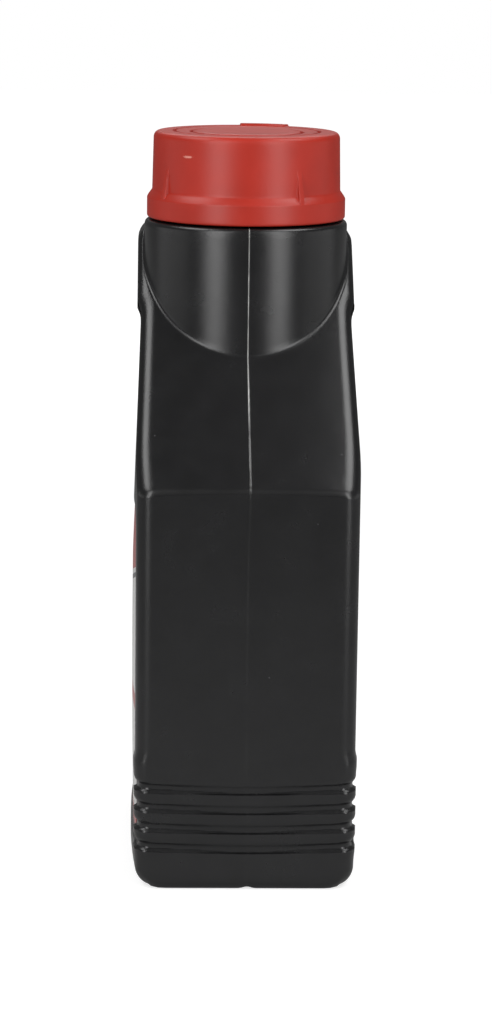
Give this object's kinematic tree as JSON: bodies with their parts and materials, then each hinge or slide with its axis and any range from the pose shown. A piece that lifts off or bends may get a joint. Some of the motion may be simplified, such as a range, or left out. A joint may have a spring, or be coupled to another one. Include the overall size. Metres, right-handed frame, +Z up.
{
  "type": "motor oil bottle",
  "caption": "Slim blow-moulded oil bottle with a sloped shoulder, a wide offset neck, a red screw cap and two plain labels.",
  "frame": {"origin": "middle of the footprint, on the surface the bottle stands on", "axes": "+Z up, X through the thickness (front label towards -X), Y along the width, shoulder sloping down towards -Y"},
  "size_m": [0.07, 0.102, 0.2251],
  "materials": {
    "black_hdpe": "fine satin, blow-moulded",
    "red_polypropylene": "satin, injection-moulded",
    "white_foam": "matt foamed sheet",
    "label_film": "gloss self-adhesive film"
  },
  "bodies": {
    "bottle": {"bottle": "black_hdpe", "front_label": "label_film", "back_label": "label_film"},
    "liner": {"cap_liner": "white_foam"},
    "cap": {"cap": "red_polypropylene"}
  },
  "joints": [
    {"name": "cap_lift", "type": "slide", "parent": "bottle", "child": "liner", "axis": [0, 0, 1], "range_m": [0, 0.028]},
    {"name": "cap_turn", "type": "hinge", "parent": "liner", "child": "cap", "pos_m": [0, 0.01725, 0.2225], "axis": [0, 0, 1], "range_deg": [0, 540]}
  ],
  "couplings": [
    {"joint": "cap_turn", "follows": "cap_lift", "rad_per_m": 336.57}
  ]
}
